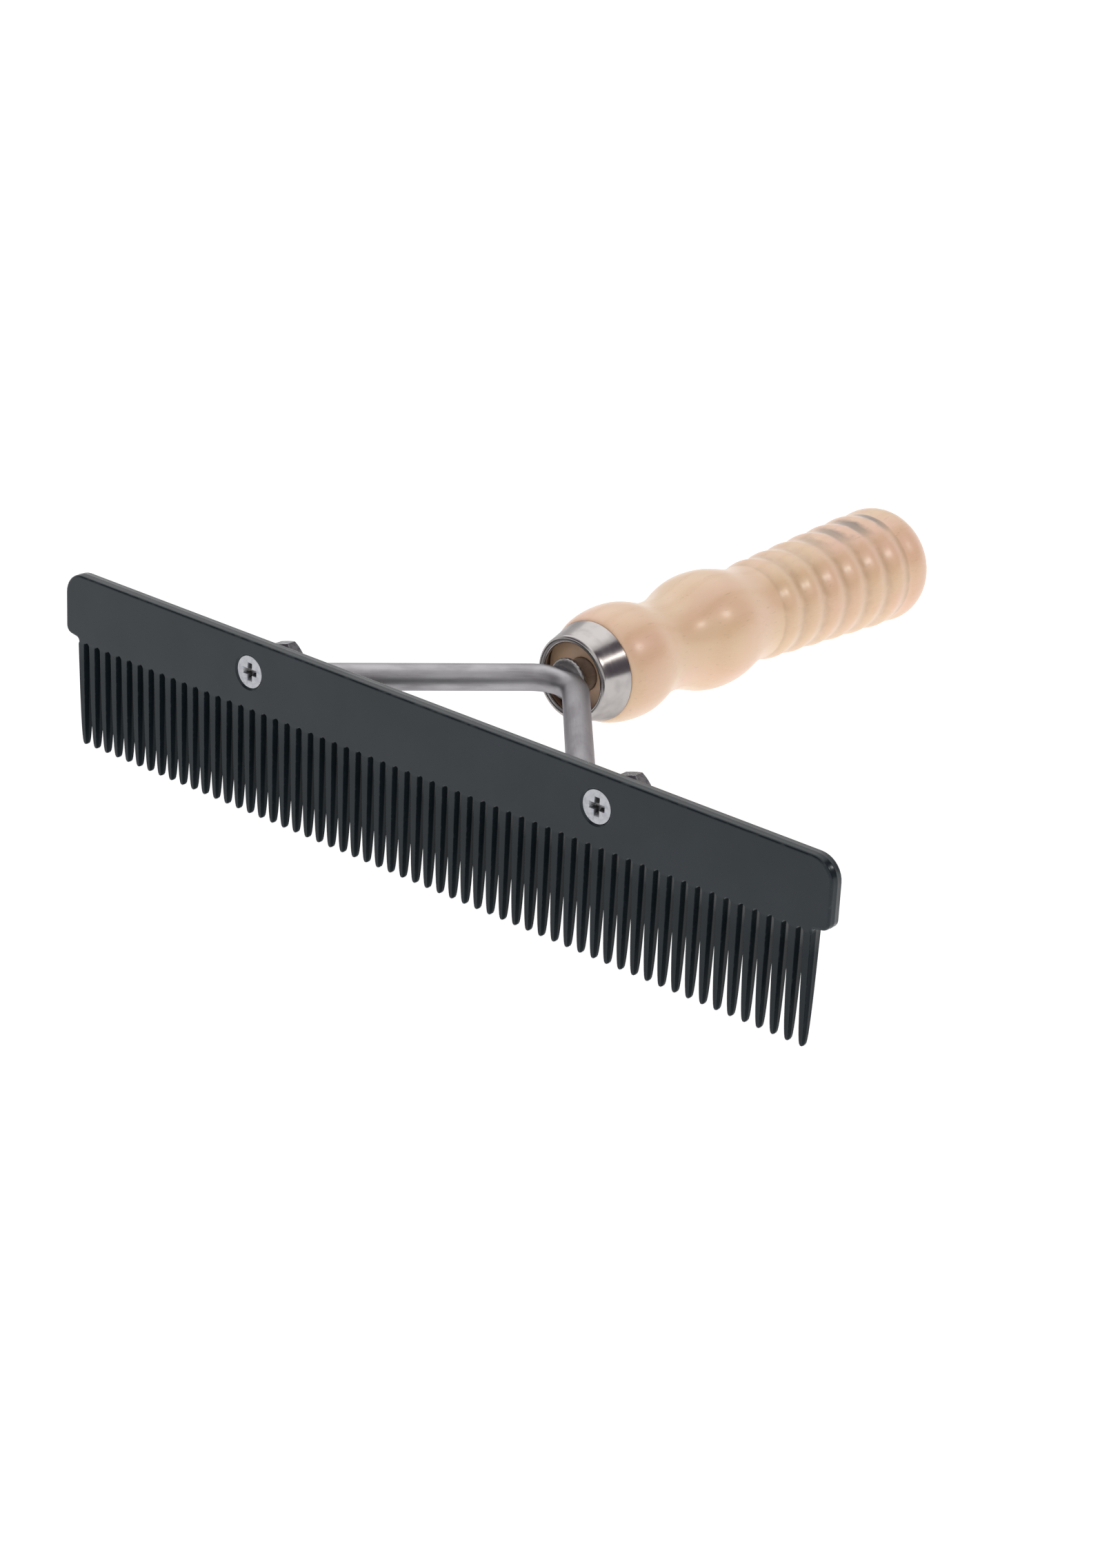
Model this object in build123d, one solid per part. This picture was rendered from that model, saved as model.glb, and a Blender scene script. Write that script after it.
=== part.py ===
"""Show comb: a moulded comb blade screwed to a bent rod fork on a turned wooden handle.

Frame: the origin is where the handle's axis meets the blade's front face.
+X runs along the blade, +Y along the handle away from the blade, +Z up; the teeth point down.
All sizes are in millimetres.
"""

import math
import os

from build123d import *

INCH = 25.4

# Blade
BLADE_LENGTH = 9 * INCH
BLADE_THICKNESS = 3.6
SPINE_HEIGHT = 16.5
COMB_HEIGHT = 43.5
AXIS_BELOW_TOP = 7.9
CORNER_RADIUS = 5.5
EAR_RADIUS = 2.0
EAR_INNER_RADIUS = 0.9
EAR_ABOVE_ROOT = 0.4
EAR_SLOPE = 0.7
EDGE_SOFTENING = 0.35
TOOTH_COUNT = 59
TOOTH_PITCH = 3.76
TOOTH_ROOT_WIDTH = 1.96
TOOTH_KNEE_WIDTH = 1.5
TOOTH_TIP_WIDTH = 0.7
TOOTH_ROOT_DEPTH = 3.4
TOOTH_KNEE_DEPTH = 2.45
TOOTH_TIP_DEPTH = 0.9
KNEE_ABOVE_TIP = 8.0

# Number 8-32 flat-head screw, nut and spring washer
SCREW_SPACING = 104.3
SCREW_LENGTH = 0.625 * INCH
SCREW_RADIUS = 0.164 * INCH / 2
SCREW_HEAD_RADIUS = 0.312 * INCH / 2
HEAD_HALF_ANGLE = 41.0
HEAD_SINK = 0.35
SINK_MOUTH_RADIUS = 4.35
BLADE_HOLE_RADIUS = 2.3
RECESS_WIDTH = 1.3
RECESS_SPAN = 4.4
RECESS_DEPTH = 1.6
NUT_FLATS = 5 / 16 * INCH
NUT_THICKNESS = INCH / 8
NUT_TURN = 15.0
WASHER_INNER_RADIUS = 2.15
WASHER_OUTER_RADIUS = 3.72
WASHER_THICKNESS = 1.02
WASHER_SPLIT = 0.8

# Fork rod
ROD_RADIUS = INCH / 8
LEG_ANGLE = 47.7
APEX_Y = 53.5
APEX_BEND_RADIUS = 9.5
FOOT_BEND_RADIUS = 5.0
PAD_THICKNESS = 6.3
PAD_WIDTH = 6.9
PAD_START_X = 47.2
PAD_HOLE_RADIUS = 2.2

# Tang and its weld
TANG_RADIUS = 5 / 32 * INCH
TANG_END_Y = 112.0
TANG_POINT = 3.0
WELD_RADIUS = 5.4
WELD_LENGTH = 2.6

# Ferrule
FERRULE_FRONT_Y = 52.0
FERRULE_REAR_Y = 59.8
FERRULE_FRONT_RADIUS = 10.0
FERRULE_REAR_RADIUS = 12.0
FERRULE_WALL = 0.7
LIP_RADIUS = 0.9

# Handle
TENON_FRONT_Y = 56.5
SHOULDER_RADIUS = 12.3
HANDLE_END_Y = 176.2
END_ROUNDING = 6.5
FRONT_BULGE = (68.5, 13.85)
NECK = (83.0, 11.1)
MIDDLE_BULGE = (99.5, 14.3)
WAIST = (117.0, 11.6)
RIB_COUNT = 6
RIB_PITCH = 8.0
RIB_HEIGHT = 0.65
RIB_END_RADIUS = 13.9
REAR_BULGE_RADIUS = 14.5
FIT_GAP = 0.02

SPINE_TOP_Z = AXIS_BELOW_TOP
ROOT_Z = SPINE_TOP_Z - SPINE_HEIGHT
TIP_Z = SPINE_TOP_Z - COMB_HEIGHT
KNEE_Z = TIP_Z + KNEE_ABOVE_TIP
HALF_LENGTH = BLADE_LENGTH / 2
SCREW_X = SCREW_SPACING / 2
PAD_BACK_Y = BLADE_THICKNESS + PAD_THICKNESS
WASHER_BACK_Y = PAD_BACK_Y + WASHER_THICKNESS
NUT_BACK_Y = WASHER_BACK_Y + NUT_THICKNESS
ROD_FOOT_Y = BLADE_THICKNESS + ROD_RADIUS


def along_y(shape, x=0.0, y=0.0):
    """Turns a shape drawn along +Z so that it runs along +Y from (x, y)."""
    return Pos(x, y, 0) * Rot(-90, 0, 0) * shape


def turned(profile):
    """Revolves a profile drawn in the XY plane (X is radius, Y is along the handle) about Y."""
    return revolve(profile, Axis.Y, 360)


def tooth_centres():
    first = -(TOOTH_COUNT - 1) / 2 * TOOTH_PITCH
    return [first + i * TOOTH_PITCH for i in range(TOOTH_COUNT)]


def near(vertices, x, y):
    """The two mirrored corners of a sketch at (x, y) and (-x, y)."""
    return vertices.filter_by(lambda v: abs(abs(v.X) - x) < 0.01 and abs(v.Y - y) < 0.01)


def comb_outline():
    """The blade's front outline: spine, ears, and each tooth with a round tip and round gap tops."""
    tip_half, knee_half = TOOTH_TIP_WIDTH / 2, TOOTH_KNEE_WIDTH / 2
    root_half = TOOTH_ROOT_WIDTH / 2
    gap_radius = TOOTH_PITCH / 2 - root_half
    gap_z = ROOT_Z - gap_radius
    centres = tooth_centres()
    outer_x = centres[-1] + root_half
    ear_z = ROOT_Z + EAR_ABOVE_ROOT
    with BuildSketch(Plane.XZ) as sketch:
        with BuildLine():
            for i, x in enumerate(centres):
                side = (x - root_half, gap_z)
                if i:
                    gap_start = (centres[i - 1] + root_half, gap_z)
                    ThreePointArc(gap_start, (x - TOOTH_PITCH / 2, ROOT_Z), side)
                Line(side, (x - knee_half, KNEE_Z))
                Line((x - knee_half, KNEE_Z), (x - tip_half, TIP_Z + tip_half))
                tip_end = (x + tip_half, TIP_Z + tip_half)
                ThreePointArc((x - tip_half, TIP_Z + tip_half), (x, TIP_Z), tip_end)
                Line(tip_end, (x + knee_half, KNEE_Z))
                Line((x + knee_half, KNEE_Z), (x + root_half, gap_z))
            Polyline((outer_x, gap_z), (outer_x, ear_z), (HALF_LENGTH, ear_z + EAR_SLOPE),
                     (HALF_LENGTH, SPINE_TOP_Z), (-HALF_LENGTH, SPINE_TOP_Z),
                     (-HALF_LENGTH, ear_z + EAR_SLOPE), (-outer_x, ear_z), (-outer_x, gap_z))
        make_face()
        corners = sketch.vertices()
        fillet(near(corners, HALF_LENGTH, SPINE_TOP_Z), CORNER_RADIUS)
        fillet(near(corners, HALF_LENGTH, ear_z + EAR_SLOPE), EAR_RADIUS)
        fillet(near(corners, outer_x, ear_z), EAR_INNER_RADIUS)
    return sketch.sketch


def depth_outline():
    """The blade seen from its end: full depth at the spine, teeth thinning to their tips."""
    middle = BLADE_THICKNESS / 2
    shoulder_z = ROOT_Z - 1.5
    left = [
        (middle - TOOTH_TIP_DEPTH / 2, TIP_Z + TOOTH_TIP_DEPTH / 2),
        (middle - TOOTH_KNEE_DEPTH / 2, KNEE_Z),
        (middle - TOOTH_ROOT_DEPTH / 2, shoulder_z),
        (0, ROOT_Z),
        (0, SPINE_TOP_Z),
    ]
    right = [(BLADE_THICKNESS - y, z) for y, z in reversed(left)]
    with BuildSketch(Plane.YZ) as sketch:
        with BuildLine():
            Polyline(*left, *right)
            ThreePointArc(right[-1], (middle, TIP_Z), left[0])
        make_face()
        fillet(sketch.vertices().filter_by(lambda v: v.Y > SPINE_TOP_Z - 0.01), EDGE_SOFTENING)
    return sketch.sketch


def screw_hole():
    """The blade's clearance hole and countersink, as the solid to remove."""
    sink = SINK_MOUTH_RADIUS - BLADE_HOLE_RADIUS
    floor_y = sink / math.tan(math.radians(HEAD_HALF_ANGLE))
    return turned(make_face(Polyline(
        (0, -1), (SINK_MOUTH_RADIUS, -1), (SINK_MOUTH_RADIUS, 0), (BLADE_HOLE_RADIUS, floor_y),
        (BLADE_HOLE_RADIUS, BLADE_THICKNESS + 1), (0, BLADE_THICKNESS + 1), close=True)))


def comb_blade():
    front = extrude(comb_outline(), -BLADE_THICKNESS)
    depth = extrude(depth_outline(), HALF_LENGTH + 1, both=True)
    plan = Pos(0, BLADE_THICKNESS / 2, TIP_Z - 1) * extrude(
        RectangleRounded(BLADE_LENGTH, BLADE_THICKNESS, EDGE_SOFTENING), COMB_HEIGHT + 2)
    blade = front & depth & plan
    for x in (-SCREW_X, SCREW_X):
        blade -= Pos(x, 0, 0) * screw_hole()
    return blade


def screw(x):
    """Flat-head screw with a cross recess; its head lies a little below the blade's face."""
    cone = (SCREW_HEAD_RADIUS - SCREW_RADIUS) / math.tan(math.radians(HEAD_HALF_ANGLE))
    tail_y = HEAD_SINK + SCREW_LENGTH
    body = turned(make_face(Polyline(
        (0, HEAD_SINK), (SCREW_HEAD_RADIUS, HEAD_SINK), (SCREW_RADIUS, HEAD_SINK + cone),
        (SCREW_RADIUS, tail_y - 0.5), (SCREW_RADIUS - 0.5, tail_y), (0, tail_y), close=True)))
    cross = Rectangle(RECESS_SPAN, RECESS_WIDTH) + Rectangle(RECESS_WIDTH, RECESS_SPAN)
    recess = extrude(cross, RECESS_DEPTH, taper=12)
    return Pos(x, 0, 0) * (body - along_y(recess, 0, HEAD_SINK))


def lock_washer(x):
    ring = extrude(Circle(WASHER_OUTER_RADIUS) - Circle(WASHER_INNER_RADIUS), WASHER_THICKNESS)
    gap = Pos(0, WASHER_OUTER_RADIUS, 0) * Box(WASHER_SPLIT, 2 * WASHER_INNER_RADIUS, 3 * WASHER_THICKNESS)
    return along_y(ring - gap, x, PAD_BACK_Y)


def nut(x):
    """Hexagon nut, tightened to a chance angle, with its corners chamfered on the outer face."""
    corner = NUT_FLATS / math.sqrt(3)
    hexagon = RegularPolygon(NUT_FLATS / 2, 6, major_radius=False, rotation=-NUT_TURN)
    cone = extrude(Circle(corner + 1.2), NUT_THICKNESS, taper=20)
    bore = extrude(Circle(SCREW_RADIUS + FIT_GAP), 3 * NUT_THICKNESS, both=True)
    return along_y((extrude(hexagon, NUT_THICKNESS) & cone) - bore, x, WASHER_BACK_Y)


def foot_corner_x():
    return (APEX_Y - ROD_FOOT_Y) / math.tan(math.radians(LEG_ANGLE))


def apex_peak_y():
    """Where the bent rod's centre line crosses the handle's axis."""
    return APEX_Y - APEX_BEND_RADIUS * (1 / math.cos(math.radians(LEG_ANGLE)) - 1)


def fork_foot():
    """The flattened end at +X: a round-to-flat transition, then a drilled pad with a round end."""
    round_x = PAD_START_X - 2.2
    pad_y = BLADE_THICKNESS + PAD_THICKNESS / 2
    round_plane = Plane((round_x, ROD_FOOT_Y, 0), x_dir=(0, 0, 1), z_dir=(1, 0, 0))
    flat_plane = Plane((PAD_START_X, pad_y, 0), x_dir=(0, 0, 1), z_dir=(1, 0, 0))
    change = loft([round_plane * Circle(ROD_RADIUS), flat_plane * SlotOverall(PAD_WIDTH, PAD_THICKNESS)])
    length = SCREW_X - PAD_START_X
    pad = Pos(PAD_START_X + length / 2, 0) * Rectangle(length, PAD_WIDTH)
    pad += Pos(SCREW_X, 0) * Circle(PAD_WIDTH / 2)
    pad -= Pos(SCREW_X, 0) * Circle(PAD_HOLE_RADIUS)
    return change + along_y(extrude(pad, PAD_THICKNESS), 0, BLADE_THICKNESS)


def fork_rod():
    """One rod bent to a V whose apex points at the handle, with both ends flattened behind the blade."""
    end_x = PAD_START_X - 2.2
    corner_x = foot_corner_x()
    path = FilletPolyline(
        (-end_x, ROD_FOOT_Y), (-corner_x, ROD_FOOT_Y), (0, APEX_Y), (corner_x, ROD_FOOT_Y),
        (end_x, ROD_FOOT_Y), radius=[FOOT_BEND_RADIUS, APEX_BEND_RADIUS, FOOT_BEND_RADIUS])
    rod = sweep(Plane(path @ 0, z_dir=path % 0) * Circle(ROD_RADIUS), path=path)
    foot = fork_foot()
    return rod + foot + mirror(foot, about=Plane.YZ)


def tang(fork):
    """Straight rod, coped at the front to sit against the fork's bend and pointed at its end."""
    shaft = turned(make_face(Polyline(
        (0, apex_peak_y()), (TANG_RADIUS, apex_peak_y()), (TANG_RADIUS, TANG_END_Y - TANG_POINT),
        (TANG_RADIUS / 2, TANG_END_Y), (0, TANG_END_Y), close=True)))
    return max((shaft - fork).solids(), key=lambda s: s.volume)


def tang_weld(fork, shaft):
    """The weld bead: a collar round the joint with a hollow back slope."""
    front_y = apex_peak_y() + ROD_RADIUS - 1.6
    back_y = front_y + WELD_LENGTH
    bead = turned(make_face(
        Polyline((WELD_RADIUS, front_y + 1.0), (WELD_RADIUS - 0.8, front_y), (0, front_y), (0, back_y),
                 (TANG_RADIUS + 0.3, back_y))
        + RadiusArc((TANG_RADIUS + 0.3, back_y), (WELD_RADIUS, front_y + 1.0), 2.2)))
    return max((bead - fork - shaft).solids(), key=lambda s: s.volume)


def ferrule_inner_radius(y):
    slope = (FERRULE_REAR_RADIUS - FERRULE_FRONT_RADIUS) / (FERRULE_REAR_Y - FERRULE_FRONT_Y)
    return FERRULE_FRONT_RADIUS + slope * (y - FERRULE_FRONT_Y) - FERRULE_WALL


def ferrule():
    """Thin cone round the handle's front end, its front edge rolled inwards to a lip."""
    lip_y = FERRULE_FRONT_Y + LIP_RADIUS
    lip_outer = ferrule_inner_radius(lip_y) + FERRULE_WALL
    lip_inner = lip_outer - 2 * LIP_RADIUS
    wall_y = lip_y + LIP_RADIUS
    return turned(make_face(
        Line((FERRULE_REAR_RADIUS, FERRULE_REAR_Y), (lip_outer, lip_y))
        + ThreePointArc((lip_outer, lip_y), (lip_outer - LIP_RADIUS, FERRULE_FRONT_Y), (lip_inner, lip_y))
        + Polyline((lip_inner, lip_y), (ferrule_inner_radius(wall_y), wall_y),
                   (ferrule_inner_radius(FERRULE_REAR_Y), FERRULE_REAR_Y),
                   (FERRULE_REAR_RADIUS, FERRULE_REAR_Y))))


def swell(start, end, ease=0.45):
    """A smooth S-curve between two (y, radius) stations, parallel to the axis at both."""
    (y0, r0), (y1, r1) = start, end
    reach = ease * (y1 - y0)
    return Bezier((r0, y0), (r0, y0 + reach), (r1, y1 - reach), (r1, y1))


def handle_side():
    """The handle's turned outline from the shoulder to the flat end."""
    shoulder = (FERRULE_REAR_Y + 0.3, SHOULDER_RADIUS)
    y0, r0 = shoulder
    y1, r1 = FRONT_BULGE
    side = Bezier((r0, y0), (r0 + 1.1, y0 + 1.7), (r1, y1 - 3.2), (r1, y1))
    side += swell(FRONT_BULGE, NECK)
    side += swell(NECK, MIDDLE_BULGE)
    side += swell(MIDDLE_BULGE, WAIST)
    (y, r), rise = WAIST, (RIB_END_RADIUS - WAIST[1]) / RIB_COUNT
    for _ in range(RIB_COUNT):
        crest = (r + rise / 2 + RIB_HEIGHT, y + RIB_PITCH / 2)
        side += ThreePointArc((r, y), crest, (r + rise, y + RIB_PITCH))
        y, r = y + RIB_PITCH, r + rise
    round_y = HANDLE_END_Y - END_ROUNDING
    side += swell((y, r), (round_y, REAR_BULGE_RADIUS))
    side += RadiusArc((REAR_BULGE_RADIUS, round_y), (REAR_BULGE_RADIUS - END_ROUNDING, HANDLE_END_Y),
                      -END_ROUNDING)
    return side


def handle():
    """Turned wood: a tenon inside the ferrule, a bore for the tang, then the grip."""
    bore = TANG_RADIUS + FIT_GAP
    bore_end_y = TANG_END_Y + 1.5
    tenon_front = ferrule_inner_radius(TENON_FRONT_Y) - FIT_GAP
    tenon_rear = ferrule_inner_radius(FERRULE_REAR_Y) - FIT_GAP
    shoulder_y = FERRULE_REAR_Y
    inside = Polyline(
        (REAR_BULGE_RADIUS - END_ROUNDING, HANDLE_END_Y), (0, HANDLE_END_Y), (0, bore_end_y),
        (bore, bore_end_y), (bore, TENON_FRONT_Y), (tenon_front, TENON_FRONT_Y), (tenon_rear, shoulder_y),
        (SHOULDER_RADIUS - 0.3, shoulder_y), (SHOULDER_RADIUS, shoulder_y + 0.3))
    return turned(make_face(handle_side() + inside))


def main():
    fork = fork_rod()
    shaft = tang(fork)
    nodes = {
        "comb_blade": comb_blade(),
        "fork_rod": fork,
        "tang": shaft,
        "tang_weld": tang_weld(fork, shaft),
        "ferrule": ferrule(),
        "handle": handle(),
    }
    for side, x in (("left", -SCREW_X), ("right", SCREW_X)):
        nodes["screw_" + side] = screw(x)
        nodes["lock_washer_" + side] = lock_washer(x)
        nodes["nut_" + side] = nut(x)
    os.makedirs("parts", exist_ok=True)
    for name, shape in nodes.items():
        export_step(shape, f"parts/{name}.step")


main()
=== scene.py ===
"""Looks of a show comb: a moulded comb blade on a bent rod fork, with a chromed ferrule and a turned handle.

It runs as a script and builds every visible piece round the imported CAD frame, in metres.
The blade's front face is at Y = 0, the handle runs along +Y, and the teeth point down.
"""

import math

import bmesh
import bpy
import numpy as np
from bpy.props import FloatProperty, FloatVectorProperty, IntProperty, PointerProperty
from mathutils import Matrix, Vector
from mathutils.geometry import delaunay_2d_cdt


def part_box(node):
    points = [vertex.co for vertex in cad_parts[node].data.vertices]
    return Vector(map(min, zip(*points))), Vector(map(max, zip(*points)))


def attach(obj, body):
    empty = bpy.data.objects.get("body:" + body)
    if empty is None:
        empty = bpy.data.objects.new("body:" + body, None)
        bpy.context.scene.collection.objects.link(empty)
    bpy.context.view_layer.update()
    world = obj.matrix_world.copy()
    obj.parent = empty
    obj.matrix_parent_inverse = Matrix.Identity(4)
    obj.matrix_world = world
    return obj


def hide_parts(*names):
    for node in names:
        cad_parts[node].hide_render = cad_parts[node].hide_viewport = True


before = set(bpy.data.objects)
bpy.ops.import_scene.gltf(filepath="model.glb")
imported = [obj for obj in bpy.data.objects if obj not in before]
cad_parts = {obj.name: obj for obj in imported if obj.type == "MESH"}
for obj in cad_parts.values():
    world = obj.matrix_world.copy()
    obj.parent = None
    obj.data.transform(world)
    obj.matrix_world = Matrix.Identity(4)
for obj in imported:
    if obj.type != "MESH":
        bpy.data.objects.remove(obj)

bl_info = {
    "name": "Show Comb",
    "version": (1, 0, 0),
    "blender": (4, 5, 0),
    "location": "View3D > Sidebar > Show Comb",
    "description": "Builds a livestock show comb with a moulded blade, a rod fork and a turned handle",
    "category": "Add Mesh",
}

MM = 0.001
TURN = 2 * math.pi
INCH = 25.4 * MM
WELD_DISTANCE = 0.0005 * MM
HEAD_HALF_ANGLE = 41.0
NUT_CHAMFER = math.radians(30)
TAPER_POWER = 0.38
ROOT_RAMP = 1.5 * MM
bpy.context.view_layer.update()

BLADE_LOW, BLADE_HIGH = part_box("comb_blade")
FORK_LOW, FORK_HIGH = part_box("fork_rod")
WELD_LOW, WELD_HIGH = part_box("tang_weld")
FERRULE_LOW, FERRULE_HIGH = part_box("ferrule")
HANDLE_LOW, HANDLE_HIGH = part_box("handle")
SCREW_LOW, SCREW_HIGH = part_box("screw_right")
WASHER_LOW, WASHER_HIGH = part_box("lock_washer_right")
NUT_LOW, NUT_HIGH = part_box("nut_right")
SCREW_X = (SCREW_LOW.x + SCREW_HIGH.x) / 2
SIDES = (("left", -SCREW_X), ("right", SCREW_X))


# Sizes and colours


def length(name, description, default):
    return FloatProperty(name=name, description=description, default=default, min=0.0, unit="LENGTH",
                         precision=5)


def share(name, description, default):
    return FloatProperty(name=name, description=description, default=default, min=0.0, max=1.0,
                         subtype="FACTOR")


def angle(name, description, default):
    return FloatProperty(name=name, description=description, default=math.radians(default), subtype="ANGLE")


def power(name, description, default):
    return FloatProperty(name=name, description=description, default=default, min=0.0, unit="POWER")


def colour(name, description, default):
    return FloatVectorProperty(name=name, description=description, default=default, size=3, min=0.0, max=1.0,
                               subtype="COLOR")


class BladeSettings(bpy.types.PropertyGroup):
    """Sizes and colours of the moulded comb blade."""

    tooth_count: IntProperty(name="Teeth", description="Number of teeth", default=59, min=2)
    tooth_pitch: length("Tooth pitch", "Distance between neighbouring teeth", 3.76 * MM)
    spine_height: length("Spine height", "From the top edge to the tops of the gaps", 16.5 * MM)
    root_width: length("Root width", "Width of a tooth where it leaves the spine", 1.96 * MM)
    tip_width: length("Tip width", "Width of a tooth at its round tip", 0.7 * MM)
    root_depth: length("Root depth", "Front to back depth of a tooth near the spine", 3.4 * MM)
    tip_depth: length("Tip depth", "Front to back depth of a tooth at its tip", 0.9 * MM)
    corner_radius: length("Corner radius", "Radius of the spine's two top corners", 5.5 * MM)
    ear_radius: length("Ear radius", "Radius of the spine's two lower corners", 2.0 * MM)
    edge_radius: length("Edge radius", "Rounding of the spine's edges", 0.6 * MM)
    tooth_edge_radius: length("Tooth edge radius", "Rounding of a tooth's edges at its root", 0.13 * MM)
    sink_radius: length("Countersink radius", "Radius of the countersink at the front face", 4.35 * MM)
    hole_radius: length("Hole radius", "Radius of each screw's clearance hole", 2.3 * MM)
    dark: colour("Dark plastic", "Base colour of the plastic", (0.006, 0.010, 0.013))
    light: colour("Light plastic", "Colour of its paler clouds", (0.009, 0.014, 0.018))
    worn: colour("Worn plastic", "Colour of rubbed edges", (0.028, 0.033, 0.038))


class ForkSettings(bpy.types.PropertyGroup):
    """Sizes and colours of the bent rod, the tang and their weld."""

    rod_radius: length("Rod radius", "Radius of the bent rod", 3.175 * MM)
    leg_angle: angle("Leg angle", "Angle of each leg from the blade", 47.7)
    apex_y: length("Apex distance", "Where the legs' centre lines would meet", 53.5 * MM)
    apex_bend: length("Apex bend", "Centre line radius of the bend under the ferrule", 9.5 * MM)
    foot_bend: length("Foot bend", "Centre line radius of the bend at each foot", 5.0 * MM)
    pad_thickness: length("Pad thickness", "Thickness of each flattened end", 6.3 * MM)
    flat_start: length("Flat start", "Distance from the middle where the rod starts to flatten", 43.6 * MM)
    flat_end: length("Flat end", "Distance from the middle where the rod is fully flat", 48.2 * MM)
    pad_hole_radius: length("Pad hole radius", "Radius of the hole through each pad", 2.2 * MM)
    tang_radius: length("Tang radius", "Radius of the rod inside the handle", 3.97 * MM)
    steel: colour("Steel", "Colour of the drawn steel rod", (0.43, 0.42, 0.435))
    steel_dark: colour("Dark steel", "Colour of its smudges", (0.31, 0.295, 0.315))
    weld: colour("Weld", "Colour of the weld bead", (0.33, 0.32, 0.32))
    heat_tint: colour("Heat tint", "Brown tint beside the weld", (0.20, 0.13, 0.08))


class HardwareSettings(bpy.types.PropertyGroup):
    """Sizes and colours of the screws, nuts and lock washers."""

    shank_radius: length("Shank radius", "Outer radius of the screw thread", 2.083 * MM)
    thread_pitch: length("Thread pitch", "Distance between neighbouring threads", INCH / 32)
    thread_depth: length("Thread depth", "Depth of the thread", 0.42 * MM)
    cross_span: length("Cross span", "Length of each arm of the cross recess", 4.4 * MM)
    cross_width: length("Cross width", "Width of each arm of the cross recess", 1.5 * MM)
    cross_depth: length("Cross depth", "Depth of the cross recess", 1.3 * MM)
    nut_flats: length("Nut flats", "Distance across the nut's flats", 5 / 16 * INCH)
    nut_turn: angle("Nut turn", "Angle that each nut ended at", 15.0)
    head_half_angle: angle("Head half angle", "Half the cone angle of the flat head", HEAD_HALF_ANGLE)
    split_angle: angle("Split angle", "Opening of the lock washer's split", 15.0)
    zinc: colour("Zinc", "Colour of the plated steel", (0.44, 0.45, 0.475))
    zinc_dull: colour("Dull zinc", "Colour of its cloudy patches", (0.375, 0.385, 0.42))
    nut_steel: colour("Nut steel", "Colour of the darker nuts", (0.35, 0.355, 0.36))
    nut_dull: colour("Dull nut", "Colour of their patches", (0.25, 0.255, 0.26))
    # Painted shade: this colour darkens each screw's cross recess in place of its shade.
    recess: colour("Recess", "Colour of the oily dirt in each screw's recess", (0.2, 0.2, 0.205))


class FerruleSettings(bpy.types.PropertyGroup):
    """Sizes and colours of the spun ferrule."""

    front_radius: length("Front radius", "Outer radius at the rolled lip", 10.0 * MM)
    wall: length("Wall", "Thickness of the sheet", 0.7 * MM)
    lip_radius: length("Lip radius", "Radius of the rolled lip", 0.9 * MM)
    chrome: colour("Chrome", "Colour of the plating", (0.47, 0.445, 0.435))
    chrome_smudge: colour("Smudge", "Colour of its smudges", (0.38, 0.36, 0.355))


class HandleSettings(bpy.types.PropertyGroup):
    """Sizes and colours of the turned wooden handle."""

    shoulder_radius: length("Shoulder radius", "Radius where the wood meets the ferrule", 12.3 * MM)
    end_rounding: length("End rounding", "Radius of the rounded end", 6.5 * MM)
    rib_count: IntProperty(name="Ribs", description="Number of grip ribs", default=6, min=1)
    rib_pitch: length("Rib pitch", "Distance between neighbouring ribs", 8.0 * MM)
    rib_height: length("Rib height", "Height of a rib above its grooves", 0.65 * MM)
    wood: colour("Wood", "Colour of the pale wood", (0.82, 0.57, 0.355))
    wood_pink: colour("Rosy wood", "Colour of its rosy patches", (0.84, 0.53, 0.37))
    grain: colour("Grain", "Colour of the grain lines", (0.74, 0.46, 0.255))
    # Used twice: real colour for the wood's short dark flecks, and painted shade in the turned grooves.
    groove: colour("Groove", "Colour of the darker turned grooves", (0.60, 0.39, 0.235))
    # Painted shade: this colour darkens the top grooves near the end in place of their shade.
    top_groove_shade: colour("Grime", "Colour of the handled dirt in the top grooves near the end", (0.13, 0.09, 0.07))


class StageSettings(bpy.types.PropertyGroup):
    """The floor, the lights and the camera."""

    azimuth: angle("Azimuth", "Camera direction round the object", 39.969)
    elevation: angle("Elevation", "Camera height above the horizon", 23.071)
    roll: angle("Roll", "Camera roll about its own line of sight", 2.967)
    distance: length("Distance", "From the camera to the point it looks at", 753.4 * MM)
    target_x: length("Target X", "Where the line of sight meets the handle's level", 38.83 * MM)
    target_y: length("Target Y", "Where the line of sight meets the handle's level", 3.88 * MM)
    lens: FloatProperty(name="Lens", description="Focal length on a 36 mm frame", default=81.03,
                        unit="CAMERA")
    floor_size: length("Floor size", "Side of the square floor", 12.0)
    floor: colour("Floor", "Colour of the pale floor", (0.3, 0.3, 0.3))
    floor_glow: share("Floor glow", "Light that the backlit floor gives off", 0.9)
    sky: share("Sky", "Brightness of the studio walls", 0.86)
    card: colour("Dark card", "Colour of the dark side of the studio", (0.11, 0.09, 0.115))
    top_light: power("Top light", "Power of the softbox overhead", 8.0)
    side_light: power("Side light", "Power of the small lamp at the side", 2.0)


class ShowCombSettings(bpy.types.PropertyGroup):
    """Everything that a user may change."""

    blade: PointerProperty(type=BladeSettings)
    fork: PointerProperty(type=ForkSettings)
    hardware: PointerProperty(type=HardwareSettings)
    ferrule: PointerProperty(type=FerruleSettings)
    handle: PointerProperty(type=HandleSettings)
    stage: PointerProperty(type=StageSettings)


# Surfaces


def ease(t):
    """A smooth step: 0 below 0, 1 above 1, and 3t squared less 2t cubed between."""
    t = np.clip(t, 0.0, 1.0)
    return t * t * (3 - 2 * t)


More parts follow.
